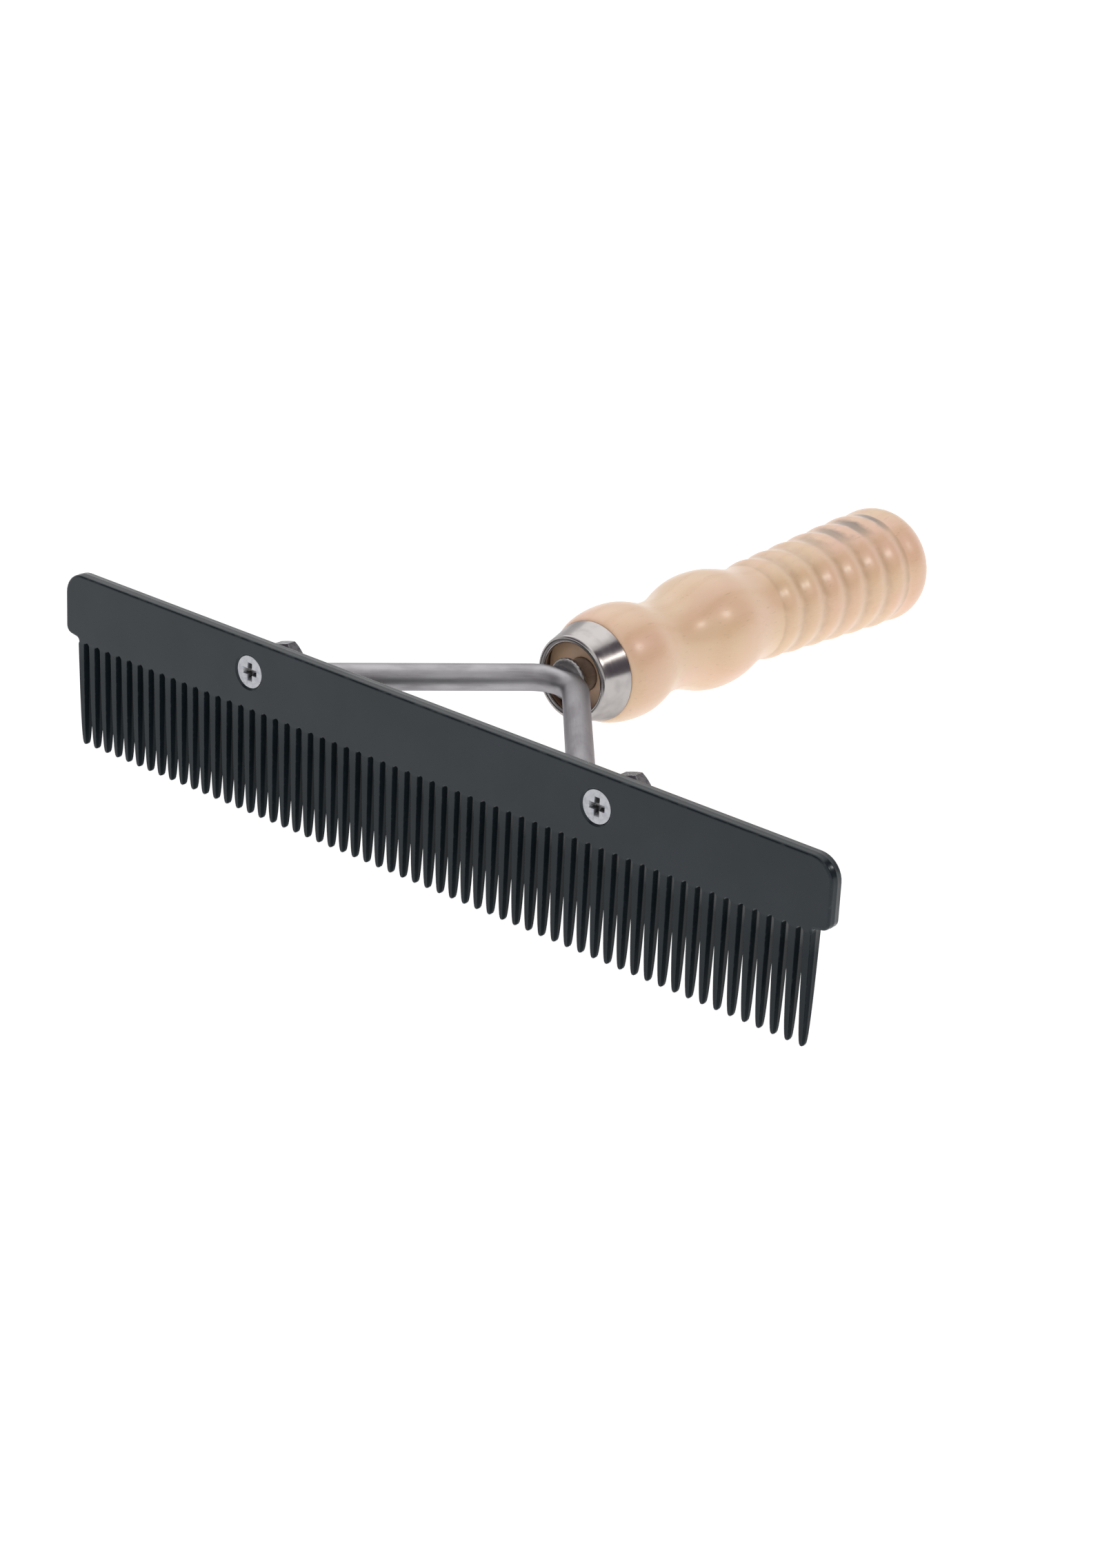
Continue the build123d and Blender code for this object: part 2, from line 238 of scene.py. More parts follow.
def grid_quads(rows, columns):
    """The four corners of each square between neighbouring rows and columns of a grid of points."""
    corner = np.arange(rows * columns).reshape(rows, columns)
    return np.stack([corner[:-1, :-1], corner[:-1, 1:], corner[1:, 1:], corner[1:, :-1]], -1).reshape(-1, 4)


def rounded_corners(corners, radii, steps=6):
    """A polyline whose inner corners are arcs: each arc touches both of its runs, and its points are
    the arc's centre plus its radius turned evenly from one touching point to the other."""
    corners = np.asarray(corners, float)
    made = [corners[:1]]
    for before, corner, after, radius in zip(corners, corners[1:], corners[2:], radii):
        back, ahead = before - corner, after - corner
        back, ahead = back / np.linalg.norm(back), ahead / np.linalg.norm(ahead)
        half = math.acos(np.clip(back @ ahead, -1, 1)) / 2
        if radius <= 0 or math.pi / 2 - half < 1e-4:
            made.append(corner[None])
            continue
        middle = back + ahead
        middle /= np.linalg.norm(middle)
        across = back - (back @ middle) * middle
        across /= np.linalg.norm(across)
        swing = np.linspace(math.pi / 2 - half, half - math.pi / 2, steps + 1)[:, None]
        centre = corner + middle * radius / math.sin(half)
        made.append(centre + radius * (np.sin(swing) * across - np.cos(swing) * middle))
    made.append(corners[-1:])
    return np.concatenate(made)


def swell(start, end, steps=14, reach=0.45):
    """A cubic S-curve between two (y, radius) stations, level at both: its two middle control points
    stand the given share of the run in from each end, at that end's radius."""
    (y0, r0), (y1, r1) = start, end
    t = np.linspace(0, 1, steps + 1)[1:]
    weights = np.stack([(1 - t) ** 3, 3 * t * (1 - t) ** 2, 3 * t * t * (1 - t), t ** 3], -1)
    run = reach * (y1 - y0)
    return weights @ np.array([(y0, r0), (y0 + run, r0), (y1 - run, r1), (y1, r1)])


def turned(y, radius, segments, centre_x=0.0):
    """A profile turned about a line along Y: x = centre + radius cos a, z = radius sin a.
    The radius is one number for each row, or a grid of rows by angles. The seam is underneath."""
    a = np.linspace(0, TURN, segments + 1) - math.pi / 2
    y, radius = np.asarray(y, float), np.asarray(radius, float)
    radius = radius[:, None] if radius.ndim == 1 else radius
    y = y[:, None] if y.ndim == 1 else y
    x, z = radius * np.cos(a), radius * np.sin(a)
    local = np.stack([x, y + 0 * x, z], -1).reshape(-1, 3)
    return {"points": local + (centre_x, 0, 0), "faces": grid_quads(x.shape[0], x.shape[1]), "local": local}


def weld(mesh):
    """Merges the points that meet at seams, poles and shared edges, and turns the faces outwards."""
    shape = bmesh.new()
    shape.from_mesh(mesh)
    bmesh.ops.remove_doubles(shape, verts=shape.verts, dist=WELD_DISTANCE)
    bmesh.ops.recalc_face_normals(shape, faces=shape.faces)
    shape.to_mesh(mesh)
    shape.free()


def make_piece(name, surfaces, material, nodes, sharp=40.0):
    """Joins surfaces into one mesh, welds what touches, turns the faces outwards and checks that it is
    closed. Each surface holds its points, its faces, its local coordinates and any named shares."""
    mesh = bpy.data.meshes.new(name)
    starts = np.cumsum([0] + [len(s["points"]) for s in surfaces])
    faces = [row for s, start in zip(surfaces, starts) for row in (s["faces"] + start).tolist()]
    mesh.from_pydata(np.concatenate([s["points"] for s in surfaces]).tolist(), [], faces)
    local = np.concatenate([s["local"] for s in surfaces])
    places = mesh.attributes.new("local", "FLOAT_VECTOR", "POINT")
    places.data.foreach_set("vector", local.astype("f").ravel())
    for key in sorted({k for s in surfaces for k in s} - {"points", "faces", "local"}):
        values = np.concatenate([s.get(key, np.zeros(len(s["points"]))) for s in surfaces])
        mesh.attributes.new(key, "FLOAT", "POINT").data.foreach_set("value", values.astype("f"))
    weld(mesh)
    edge_of_corner = np.zeros(len(mesh.loops), np.int32)
    mesh.loops.foreach_get("edge_index", edge_of_corner)
    if (np.bincount(edge_of_corner, minlength=len(mesh.edges)) != 2).any():
        raise RuntimeError(f"{name} isn't a closed surface")
    mesh.shade_smooth()
    mesh.set_sharp_from_angle(angle=math.radians(sharp))
    mesh.materials.append(material)
    piece = bpy.data.objects.new(name, mesh)
    bpy.context.scene.collection.objects.link(piece)
    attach(piece, "root")
    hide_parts(*nodes)
    return piece


# Materials


def add_node(tree, kind, inputs=None, **settings):
    """A new node with its settings, and each named or numbered input set or linked."""
    made = tree.nodes.new(kind)
    for name, value in settings.items():
        setattr(made, name, value)
    for name, value in (inputs or {}).items():
        if isinstance(value, bpy.types.NodeSocket):
            tree.links.new(value, made.inputs[name])
        else:
            made.inputs[name].default_value = value
    return made


def new_material(name, **sockets):
    """A material with one Principled shader and its fixed values; returns material, tree and shader."""
    material = bpy.data.materials.new(name)
    material.use_nodes = True
    shader = material.node_tree.nodes["Principled BSDF"]
    for socket, value in sockets.items():
        shader.inputs[socket.replace("_", " ")].default_value = value
    return material, material.node_tree, shader


def place(tree, stretch=(1, 1, 1)):
    """The piece's own coordinates, in metres, along its own axis, stretched for a pattern."""
    source = add_node(tree, "ShaderNodeAttribute", attribute_name="local")
    mapping = {"Vector": source.outputs["Vector"], "Scale": stretch}
    return add_node(tree, "ShaderNodeMapping", mapping).outputs[0]


def noise(tree, vector, size, detail=3.0, distortion=0.0):
    """Noise whose blotches are about size metres across."""
    return add_node(tree, "ShaderNodeTexNoise", {"Vector": vector, "Scale": 1 / size, "Detail": detail,
                                                 "Distortion": distortion}).outputs["Fac"]


def fit(tree, value, low, high, to_low=0.0, to_high=1.0):
    """Maps low..high to to_low..to_high and stops at both ends."""
    return add_node(tree, "ShaderNodeMapRange", {"Value": value, "From Min": low, "From Max": high,
                                                 "To Min": to_low, "To Max": to_high}).outputs[0]


def sum_of(tree, operation, a, b):
    """One sum on two values, such as MULTIPLY or ADD."""
    return add_node(tree, "ShaderNodeMath", {0: a, 1: b}, operation=operation).outputs[0]


def blend(tree, factor, a, b):
    """A colour between a and b."""
    a, b = (v if isinstance(v, bpy.types.NodeSocket) else (*v, 1.0) for v in (a, b))
    return add_node(tree, "ShaderNodeMix", {0: factor, 6: a, 7: b}, data_type="RGBA").outputs[2]


def finish(tree, shader, tone, roughness, height, depth):
    """Feeds the shader its colour and roughness, and a bump whose full height is depth metres."""
    tree.links.new(tone, shader.inputs["Base Color"])
    tree.links.new(roughness, shader.inputs["Roughness"])
    bump = add_node(tree, "ShaderNodeBump", {"Height": height, "Distance": depth, "Strength": 1.0})
    tree.links.new(bump.outputs[0], shader.inputs["Normal"])


def plastic_material(s):
    """Satin charcoal plastic: cloudy colour, a fine moulded grain, slightly paler, duller rubbed edges, and
    painted shade on the teeth: less reflection on their faces, and least on their sides between the teeth."""
    material, tree, shader = new_material("blade_plastic_satin", IOR=1.42,
                                          Specular_Tint=(0.88, 0.95, 1.0, 1.0))
    clouds = fit(tree, noise(tree, place(tree), 14 * MM), 0.35, 0.65)
    body = blend(tree, clouds, s.dark, s.light)
    edge = add_node(tree, "ShaderNodeAttribute", attribute_name="edge").outputs["Fac"]
    scuffs = fit(tree, noise(tree, place(tree, (0.35, 1, 1)), 0.9 * MM, 5), 0.52, 0.68)
    wear = sum_of(tree, "MULTIPLY", edge, scuffs)
    smooth = fit(tree, noise(tree, place(tree), 5 * MM, 4), 0.3, 0.7, 0.18, 0.27)
    # Painted shade: the teeth reflect less, their sides between the teeth least, standing in for the shade
    # there.
    flank = add_node(tree, "ShaderNodeAttribute", attribute_name="flank").outputs["Fac"]
    tree.links.new(fit(tree, flank, 0, 1, 0.5, 0.06), shader.inputs["Specular IOR Level"])
    finish(tree, shader, blend(tree, wear, body, s.worn),
           sum_of(tree, "ADD", smooth, fit(tree, wear, 0, 1, 0, 0.2)),
           noise(tree, place(tree), 0.6 * MM, 2), 0.003 * MM)
    return material


def drawn_steel_material(s):
    """Drawn rod: fine lines along its length and cloudy smudges."""
    material, tree, shader = new_material("rod_steel_drawn", Metallic=1.0,
                                          Specular_Tint=(0.5, 0.49, 0.51, 1.0))
    smudge = fit(tree, noise(tree, place(tree, (1, 0.4, 1)), 4 * MM, 5), 0.4, 0.7)
    lines = noise(tree, place(tree, (1, 0.03, 1)), 0.25 * MM, 3)
    tone = sum_of(tree, "MULTIPLY", smudge, fit(tree, lines, 0.3, 0.7, 0.5, 1.0))
    finish(tree, shader, blend(tree, tone, s.steel, s.steel_dark),
           fit(tree, sum_of(tree, "ADD", smudge, lines), 0.3, 1.5, 0.4, 0.54), lines, 0.01 * MM)
    return material


def weld_material(s):
    """Weld metal: grey scale with a brown heat tint towards the tang, and a rough skin."""
    material, tree, shader = new_material("weld_steel_scaled", Metallic=1.0)
    axis = add_node(tree, "ShaderNodeSeparateXYZ", {0: place(tree)}).outputs["Y"]
    tint = fit(tree, axis, WELD_LOW.y, WELD_HIGH.y, 0.1, 0.9)
    patches = fit(tree, noise(tree, place(tree), 1.4 * MM, 5), 0.4, 0.65)
    finish(tree, shader, blend(tree, sum_of(tree, "MULTIPLY", tint, patches), s.weld, s.heat_tint),
           fit(tree, patches, 0, 1, 0.3, 0.55), noise(tree, place(tree), 0.4 * MM, 4), 0.03 * MM)
    return material


def plated_material(name, bright, dull, recess):
    """Plated steel: cloudy crystals, a few dull patches, a fine grain and a recess darkened with painted
    shade.
    """
    material, tree, shader = new_material(name, Metallic=1.0, Specular_Tint=(0.7, 0.7, 0.72, 1.0))
    clouds = fit(tree, noise(tree, place(tree), 1.2 * MM, 4, 0.6), 0.4, 0.68)
    # Painted shade: the groove share darkens the cross recess, standing in for the shade inside it.
    groove = add_node(tree, "ShaderNodeAttribute", attribute_name="groove").outputs["Fac"]
    body = blend(tree, clouds, bright, dull)
    finish(tree, shader, blend(tree, groove, body, recess), fit(tree, clouds, 0, 1, 0.26, 0.42),
           noise(tree, place(tree), 0.12 * MM, 2), 0.003 * MM)
    return material


def chrome_material(s):
    """Bright plating over spun sheet: faint rings round the axis and soft smudges."""
    material, tree, shader = new_material("ferrule_chrome_spun", Metallic=1.0,
                                          Specular_Tint=(0.6, 0.59, 0.6, 1.0))
    smudge = fit(tree, noise(tree, place(tree), 5 * MM, 2), 0.48, 0.72)
    rings = noise(tree, place(tree, (0.03, 1, 0.03)), 0.2 * MM, 2)
    finish(tree, shader, blend(tree, smudge, s.chrome, s.chrome_smudge),
           fit(tree, sum_of(tree, "ADD", smudge, rings), 0.3, 1.6, 0.17, 0.3), rings, 0.0008 * MM)
    return material


def wood_material(s):
    """Pale lacquered wood: growth rings that run along the handle, long fibres, short dark flecks, rosy
    patches, painted shade as a darker colour in the turned grooves, and darker painted shade in the top
    grooves near the end."""
    material, tree, shader = new_material("handle_wood_lacquered", Coat_Roughness=0.28, Coat_Weight=0.7,
                                          Coat_IOR=1.6)
    patches = fit(tree, noise(tree, place(tree, (1, 0.5, 1)), 16 * MM, 2), 0.4, 0.62)
    rings = add_node(tree, "ShaderNodeTexWave", {
        "Vector": place(tree, (1, 0.05, 0.55)), "Scale": 60.0, "Distortion": 5.0, "Detail": 3.0,
        "Detail Scale": 1.6}, wave_type="BANDS", bands_direction="X").outputs["Fac"]
    fibres = noise(tree, place(tree, (1, 0.035, 1)), 0.32 * MM, 4)
    flecks = fit(tree, noise(tree, place(tree, (1, 0.12, 1)), 0.55 * MM, 2), 0.66, 0.74)
    body = blend(tree, patches, s.wood, s.wood_pink)
    lines = sum_of(tree, "MULTIPLY", fit(tree, rings, 0.45, 1.0), fit(tree, fibres, 0.3, 0.7, 0.25, 0.85))
    body = blend(tree, sum_of(tree, "MULTIPLY", lines, 0.55), body, s.grain)
    body = blend(tree, sum_of(tree, "MULTIPLY", flecks, 0.5), body, s.groove)
    # Painted shade: the groove share darkens the turned grooves where shade falls between the ribs.
    groove = add_node(tree, "ShaderNodeAttribute", attribute_name="groove").outputs["Fac"]
    patchy = fit(tree, noise(tree, place(tree), 2.5 * MM, 4), 0.3, 0.6, 0.35, 0.8)
    body = blend(tree, sum_of(tree, "MULTIPLY", groove, patchy), body, s.groove)
    # Painted shade: the top grooves near the end are darkened, standing in for the shade on the handle's top
    # there.
    axes = add_node(tree, "ShaderNodeSeparateXYZ", {0: place(tree)}).outputs
    behind_start = fit(tree, axes["Y"], 136 * MM, 146 * MM)
    before_end = fit(tree, axes["Y"], 169 * MM, 164 * MM)
    on_top = sum_of(tree, "MULTIPLY", sum_of(tree, "MULTIPLY", behind_start, before_end),
                    fit(tree, axes["Z"], 12.0 * MM, 13.9 * MM, 0, 0.9))
    shade_share = fit(tree, sum_of(tree, "ADD", groove, noise(tree, place(tree), 3 * MM, 3)), 0.5, 1.1)
    top_groove_shade = sum_of(tree, "MULTIPLY", on_top, shade_share)
    finish(tree, shader, blend(tree, top_groove_shade, body, s.top_groove_shade), fit(tree, fibres, 0.3, 0.7, 0.34, 0.5),
           sum_of(tree, "SUBTRACT", fibres, flecks), 0.02 * MM)
    return material


# Blade

# Share of the painted shade, as lost reflection, on the teeth's front and back faces.
FACE_SHADE = 0.45


def tooth_size(t, root, tip):
    """Width or depth of a tooth at share t of its height: it grows from the tip with t to the power
    TAPER_POWER."""
    return tip + (root - tip) * np.power(np.clip(t, 0, 1), TAPER_POWER)


def tooth_outline(s, root_z, tip_z):
    """One tooth and half of the gap top on each side, as x, z and edge rounding, from left to right.
    The gap top is a circle of half the gap's width; each side follows tooth_size; the tip is a semicircle."""
    gap_radius = (s.tooth_pitch - s.root_width) / 2
    gap_z = root_z - gap_radius
    tip_radius = s.tip_width / 2
    arc = np.linspace(0, math.pi / 2, 5)[:-1]
    gap_x = gap_radius * np.sin(arc) - s.tooth_pitch / 2
    arc_z = gap_z + gap_radius * np.cos(arc)
    t = np.linspace(1, 0, 11) ** 2
    side_x = -tooth_size(t, s.root_width, s.tip_width) / 2
    side_z = tip_z + tip_radius + t * (gap_z - tip_z - tip_radius)
    side_edge = s.tooth_edge_radius * tooth_size(t, 1.0, 0.45)
    turn = np.linspace(math.pi, math.pi * 1.5, 4)[1:]
    left = np.stack([
        np.concatenate([gap_x, side_x, tip_radius * np.cos(turn)]),
        np.concatenate([arc_z, side_z, tip_z + tip_radius * (1 + np.sin(turn))]),
        np.concatenate([np.full(4, s.tooth_edge_radius), side_edge, np.full(3, side_edge[-1])])], -1)
    right = left[::-1][1:-1] * (-1, 1, 1)
    return np.concatenate([left, right]), len(arc)


def blade_outline(s):
    """The whole front outline, anticlockwise: the teeth from left to right, then the ears and the spine.
    Returns x, z and edge rounding, one row for each point."""
    half, top, tip_z = BLADE_HIGH.x, BLADE_HIGH.z, BLADE_LOW.z
    root_z = top - s.spine_height
    tooth, gap_points = tooth_outline(s, root_z, tip_z)
    centres = (np.arange(s.tooth_count) - (s.tooth_count - 1) / 2) * s.tooth_pitch
    row = np.repeat(tooth[None], s.tooth_count, 0)
    row[:, :, 0] += centres[:, None]
    teeth = row.reshape(-1, 3)[gap_points:-(gap_points - 1)]
    outer = centres[-1] + s.root_width / 2
    ear_z = root_z + 0.4 * MM
    side_z = ear_z + 0.7 * MM
    start_z = teeth[0, 1]
    ends = rounded_corners(
        [(outer, start_z), (outer, ear_z), (half, side_z), (half, top), (0, top)],
        [0.9 * MM, s.ear_radius, s.corner_radius], 9)[1:]
    inner = np.linspace(ends[-2, 0], 0, 12)[1:-1]
    ends = np.concatenate([ends[:-1], np.stack([inner, np.full(len(inner), top)], -1), ends[-1:]])
    ends = np.concatenate([ends, ends[::-1][1:] * (-1, 1)])
    ends = np.column_stack([ends, np.full(len(ends), s.edge_radius)])
    return np.concatenate([teeth, ends])


def offset_directions(outline):
    """Inward normals of a closed anticlockwise outline, lengthened at each turn so that an offset keeps
    its distance from both neighbouring runs."""
    ahead = np.roll(outline, -1, 0) - outline
    ahead /= np.linalg.norm(ahead, axis=1, keepdims=True)
    along = ahead + np.roll(ahead, 1, 0)
    along /= np.linalg.norm(along, axis=1, keepdims=True)
    square = np.sum(along * ahead, 1, keepdims=True)
    return np.stack([-along[:, 1], along[:, 0]], -1) / square


def blade_depth(z, s):
    """Front to back depth at height z: the full thickness in the spine, then, after a short ramp under
    the gap tops, tooth_size."""
    thickness = BLADE_HIGH.y - BLADE_LOW.y
    ramp_top = BLADE_HIGH.z - s.spine_height
    t = (z - BLADE_LOW.z) / (ramp_top - ROOT_RAMP - BLADE_LOW.z)
    tooth = tooth_size(t, s.root_depth, s.tip_depth)
    return tooth + (thickness - tooth) * ease((z - ramp_top + ROOT_RAMP) / ROOT_RAMP)


def tooth_share(z, s):
    """0 in the spine, 1 in the teeth, with a smooth step along the ramp under the gap tops."""
    return ease((BLADE_HIGH.z - s.spine_height - z) / ROOT_RAMP)


def filled(loop, holes):
    """Triangles that fill a closed loop of (x, z) points, leaving round holes open, as an array of corners
    in the order of the loop and then the holes."""
    loops = [loop, *holes]
    points = np.concatenate(loops)
    starts = np.cumsum([0] + [len(p) for p in loops])
    edges = np.concatenate([np.stack([np.arange(len(p)), np.roll(np.arange(len(p)), -1)], -1) + start
                            for p, start in zip(loops, starts)])
    scale = 1 / MM
    corners, _, faces, source, _, _ = delaunay_2d_cdt((points * scale).tolist(), edges.tolist(), [], 1, 1e-7)
    if len(corners) != len(points):
        raise RuntimeError("the blade's outline crosses itself")
    order = np.array([first[0] for first in source])
    triangles = order[np.array(faces)]
    hole = np.repeat(np.arange(len(loops)), [len(p) for p in loops])[triangles]
    plugs = (hole[:, 0] > 0) & (hole[:, 0] == hole[:, 1]) & (hole[:, 0] == hole[:, 2])
    return triangles[~plugs]


def blade_surfaces(s):
    """The outline carried round with a section across the thickness: a narrow flat on the front face, a
    quarter circle, the side with a low parting ridge in its middle, a quarter circle and the back flat.
    The two faces are filled inside it, and each screw hole is a turned countersink between them."""
    table = blade_outline(s)
    outline, edge = table[:, :2], table[:, 2:]
    inward = offset_directions(outline)
    middle_y = (BLADE_LOW.y + BLADE_HIGH.y) / 2
    a = np.linspace(0, math.pi / 2, 5)
    flat, ridge_height, ridge_half = 0.2, 0.05 * MM, 0.14 * MM
    inset = np.concatenate([[1 + flat], 1 - np.sin(a)])
    drop = np.concatenate([[0], 1 - np.cos(a)])
    half_depth = blade_depth(outline[:, 1], s)[:, None] / 2
    front_y = -half_depth + edge * drop
    ridge_y = np.repeat(np.array([[-1.0, 0.0, 1.0]]) * ridge_half, len(outline), 0)
    offset = np.concatenate([edge * inset, edge * 0 + [[0, -ridge_height, 0]], (edge * inset)[:, ::-1]], 1)
    depth = np.concatenate([front_y, ridge_y, -front_y[:, ::-1]], 1)
    rounding = np.concatenate([[0, 0], np.sin(2 * a[1:-1]), [0.2], [0, 0, 0]])
    worn = np.concatenate([rounding, rounding[:6][::-1]])
    wall = outline[:, None, :] + offset[:, :, None] * inward[:, None, :]
    points = np.stack([wall[:, :, 0], middle_y + depth, wall[:, :, 1]], -1)
    points = np.concatenate([points, points[:1]])
    flat_points = points.reshape(-1, 3)
    in_teeth = tooth_share(points[:, :, 2], s)
    # Painted shade: how much reflection the teeth lose, most on their sides between the teeth.
    across = np.concatenate([[FACE_SHADE, 0.6], np.ones(len(worn) - 4), [0.6, FACE_SHADE]])
    surfaces = [{"points": flat_points, "faces": grid_quads(*points.shape[:2]), "local": flat_points,
                 "edge": np.tile(worn, len(points)), "flank": (in_teeth * across).ravel()}]
    turn = np.linspace(0, TURN, 65) - math.pi / 2
    ring = np.stack([np.cos(turn), np.sin(turn)], -1)[:-1]
    lip = 0.12 * MM
    for column, y, radius in ((0, BLADE_LOW.y, s.sink_radius + lip), (-1, BLADE_HIGH.y, s.hole_radius + lip)):
        loop = points[:-1, column]
        holes = [ring * radius + (x, 0) for _, x in SIDES]
        triangles = filled(loop[:, [0, 2]], holes)
        rings = [np.column_stack([hole[:, 0], np.full(len(hole), y), hole[:, 1]]) for hole in holes]
        cap = np.concatenate([loop, *rings])
        # Painted shade on the teeth's front and back faces.
        surfaces.append({"points": cap, "faces": triangles, "local": cap,
                         "flank": FACE_SHADE * tooth_share(cap[:, 2], s)})
    floor_y = BLADE_LOW.y + (s.sink_radius - s.hole_radius) / math.tan(math.radians(HEAD_HALF_ANGLE))
    profile = rounded_corners(
        [(BLADE_LOW.y, s.sink_radius + lip), (BLADE_LOW.y, s.sink_radius), (floor_y, s.hole_radius),
         (BLADE_HIGH.y, s.hole_radius), (BLADE_HIGH.y, s.hole_radius + lip)],
        [lip * 0.6, 0, lip * 0.6], 3)
    for _, x in SIDES:
        surfaces.append(turned(profile[:, 0], profile[:, 1], 64, x))
        surfaces[-1]["local"] = surfaces[-1]["points"]
    return surfaces


class SHOWCOMB_OT_make_blade(bpy.types.Operator):
    """Make the moulded comb blade"""

    bl_idname = "show_comb.make_blade"
    bl_label = "Comb blade"

    def execute(self, context):
        s = context.scene.show_comb.blade
        make_piece("comb_blade_moulded", blade_surfaces(s), plastic_material(s),
                   ["comb_blade"])
        return {"FINISHED"}


# Fork, tang and weld


def fork_centre_line(s, front_y):
    """The rod's centre line in plan, from left to right: straight feet, two foot bends, straight legs and
    the apex bend, with each end closed by points that crowd towards the pad's round end."""
    foot_y = front_y + s.rod_radius
    corner_x = (s.apex_y - foot_y) / math.tan(s.leg_angle)
    bends = rounded_corners([(-s.flat_start, foot_y), (-corner_x, foot_y), (0, s.apex_y), (corner_x, foot_y),
                             (s.flat_start + 1.3 * MM, foot_y)], [s.foot_bend, s.apex_bend, s.foot_bend], 18)
    inner = bends[bends[:, 0] >= 0]
    pad_radius = (FORK_HIGH.z - FORK_LOW.z) / 2
    run = np.linspace(inner[-1, 0], SCREW_X, 16)[1:]
    end = SCREW_X + pad_radius * np.sin(np.linspace(0, math.pi / 2, 16))[1:]
    x = np.concatenate([inner[:, 0], run, end])
    y = np.concatenate([inner[:, 1], np.full(len(run) + len(end), foot_y)])
    right = np.stack([x, y], -1)
    return np.concatenate([right[::-1] * (-1, 1), right])


def fork_surfaces(s):
    """A superellipse section carried along the centre line. It is round on the legs; from flat_start to
    flat_end it eases to a flat pad, keeping its front on the blade; past the screw both half sizes shrink
    to nothing, so that the pad's end is round."""
    front_y = FORK_LOW.y
    pad_radius = (FORK_HIGH.z - FORK_LOW.z) / 2
    line = fork_centre_line(s, front_y)
    line = line[np.concatenate([[True], np.linalg.norm(np.diff(line, axis=0), axis=1) > 1e-7])]
    reach = np.abs(line[:, 0])
    flat = ease((reach - s.flat_start) / (s.flat_end - s.flat_start))
    power = 2 + 4 * flat
    end = np.clip((reach - SCREW_X) / pad_radius, 0, 1)
    thin = (s.rod_radius + (s.pad_thickness / 2 - s.rod_radius) * flat) * (1 - end ** 6) ** (1 / 6)
    wide = (s.rod_radius + (pad_radius - s.rod_radius) * flat) * np.sqrt(1 - end ** 2)
    middle = s.rod_radius + (s.pad_thickness / 2 - s.rod_radius) * flat
    line[:, 1] += middle - s.rod_radius
    along = np.gradient(line, axis=0)
    along /= np.linalg.norm(along, axis=1, keepdims=True)
    along[reach > s.flat_start] = (1, 0)
    a = np.linspace(0, TURN, 49) - math.pi / 2
    lift = np.sign(np.sin(a)) * np.abs(np.sin(a)) ** (2 / power[:, None])
    side = np.sign(np.cos(a)) * np.abs(np.cos(a)) ** (2 / power[:, None])
    out, up = side * thin[:, None], lift * wide[:, None]
    points = np.stack([line[:, :1] - along[:, 1:] * out, line[:, 1:] + along[:, :1] * out, up], -1)
    walked = np.concatenate([[0], np.cumsum(np.linalg.norm(np.diff(line, axis=0), axis=1))])
    local = np.stack([out, walked[:, None] + 0 * out, up], -1)
    return [{"points": points.reshape(-1, 3), "faces": grid_quads(*points.shape[:2]),
             "local": local.reshape(-1, 3)}]


def bore(piece, centre_x, radius, low_y, high_y):
    """Cuts a round hole along Y through a piece."""
    y, r = [low_y, low_y, high_y, high_y], [0, radius, radius, 0]
    cutter = make_cutter(turned(y, r, 48, centre_x))
    cut = piece.modifiers.new("hole", "BOOLEAN")
    cut.operation, cut.solver, cut.object = "DIFFERENCE", "EXACT", cutter
    mesh = bpy.data.meshes.new_from_object(piece.evaluated_get(bpy.context.evaluated_depsgraph_get()))
    piece.modifiers.clear()
    old, piece.data = piece.data, mesh
    mesh.name = piece.name
    bpy.data.meshes.remove(old)
    bpy.data.meshes.remove(cutter.data)


def make_cutter(surface):
    """A closed mesh object that only cuts."""
    mesh = bpy.data.meshes.new("cutter")
    mesh.from_pydata(surface["points"].tolist(), [], surface["faces"].tolist())
    weld(mesh)
    cutter = bpy.data.objects.new("cutter", mesh)
    bpy.context.scene.collection.objects.link(cutter)
    bpy.context.view_layer.update()
    return cutter


class SHOWCOMB_OT_make_fork(bpy.types.Operator):
    """Make the bent rod fork with its flattened, drilled ends"""

    bl_idname = "show_comb.make_fork"
    bl_label = "Fork rod"

    def execute(self, context):
        s = context.scene.show_comb.fork
        fork = make_piece("fork_rod_bent", fork_surfaces(s), drawn_steel_material(s),
                          ["fork_rod"])
        for _, x in SIDES:
            bore(fork, x, s.pad_hole_radius, FORK_LOW.y - MM, FORK_LOW.y + s.pad_thickness + MM)
        return {"FINISHED"}


def weld_surfaces(s):
    """A turned bead: a half round collar whose radius swells with the weld's ripples, and hollows towards the
    tang behind."""
    front, back, outer = WELD_LOW.y, WELD_HIGH.y, (WELD_HIGH.z - WELD_LOW.z) / 2
    inner = s.tang_radius - 0.15 * MM
    profile = rounded_corners(
        [(front, 0), (front, outer - 0.6 * MM), (front + 0.6 * MM, outer),
         (back - 0.9 * MM, outer - 0.5 * MM), (back, inner + 0.35 * MM), (back, 0)],
        [0.5 * MM, 0.8 * MM, 1.1 * MM, 0.2 * MM], 8)
    a = np.linspace(0, TURN, 97) - math.pi / 2
    ripple = 0.5 + 0.5 * np.cos(26 * a + 2.2 * np.sin(a))
    bulge = np.clip((profile[:, 1] - inner) / (outer - inner), 0, 1)[:, None]
    radius = profile[:, 1:] - bulge * 0.16 * MM * (1 - ripple)
    return [turned(profile[:, 0], radius, 96)]


